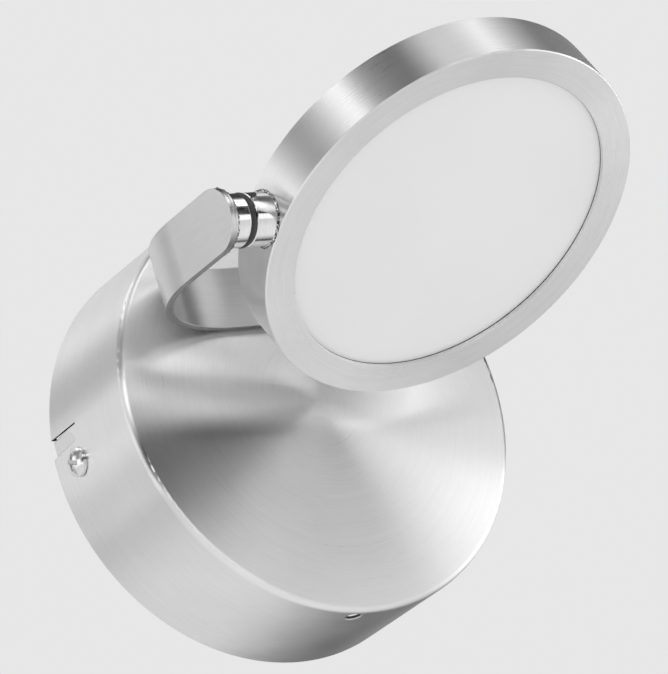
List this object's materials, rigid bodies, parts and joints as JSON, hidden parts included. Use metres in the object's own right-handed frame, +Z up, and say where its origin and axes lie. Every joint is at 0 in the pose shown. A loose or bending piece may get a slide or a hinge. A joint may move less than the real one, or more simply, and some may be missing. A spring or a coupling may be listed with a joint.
{
  "type": "pivoting spotlight wall light",
  "caption": "Wall spotlight: a flat disc head with an opal diffuser turns on a friction swivel at the end of a bent strip arm that stands off a round canopy.",
  "frame": {"origin": "centre of the wall bar's back face, on the wall plane, where the canopy's middle line meets it", "axes": "+X to the right as seen from the room, +Y into the wall, +Z up; the light stands off towards -Y"},
  "size_m": [0.1305, 0.1477, 0.1241],
  "materials": {
    "satin_nickel_turned": "satin nickel over steel, turned",
    "satin_nickel_brushed": "satin nickel over steel, brushed",
    "polished_nickel": "polished nickel",
    "bright_nickel": "bright nickel on steel screws",
    "zinc_plated": "zinc plated steel",
    "brass": "plain brass",
    "aluminium": "mill finish",
    "black_rubber": "matte black",
    "white_plastic": "fine texture",
    "adhesive_foam": "grey foam tape",
    "lead_insulation": "extruded insulation",
    "board_white": "white solder resist",
    "led_phosphor": "phosphor under silicone",
    "reflector_white": "white, half gloss",
    "opal_acrylic": "opal, satin"
  },
  "bodies": {
    "wall_side": {"wall_bar": "zinc_plated", "earth_screw": "brass", "terminal_block": "white_plastic", "terminal_screws": "zinc_plated", "mains_leads": "lead_insulation", "driver_pad": "adhesive_foam", "driver_case": "white_plastic", "driver_lid": "white_plastic", "canopy": "satin_nickel_turned", "side_screws": "bright_nickel", "arm_outer_leaf": "satin_nickel_brushed", "arm_inner_leaf": "satin_nickel_brushed", "foot_studs": "zinc_plated", "foot_washers": "zinc_plated", "foot_nuts": "zinc_plated", "lead_grommet": "black_rubber", "arm_leads": "lead_insulation", "arm_collar": "polished_nickel", "swivel_tube": "zinc_plated", "joint_seal": "black_rubber", "stop_washer": "zinc_plated", "spring_washer": "zinc_plated", "swivel_nut": "zinc_plated"},
    "head": {"head_ring": "satin_nickel_brushed", "head_bush": "polished_nickel", "stop_pin": "zinc_plated", "back_cover": "satin_nickel_turned", "back_screws": "bright_nickel", "heat_spreader": "aluminium", "led_board": "board_white", "leds": "led_phosphor", "board_screws": "zinc_plated", "reflector": "reflector_white", "diffuser_seal": "black_rubber", "diffuser": "opal_acrylic", "head_leads": "lead_insulation"}
  },
  "joints": [
    {"name": "head_swivel", "type": "hinge", "parent": "wall_side", "child": "head", "pos_m": [-0.042, -0.0965, 0.0303], "axis": [1, 0, 0], "range_deg": [-220, 100]}
  ]
}
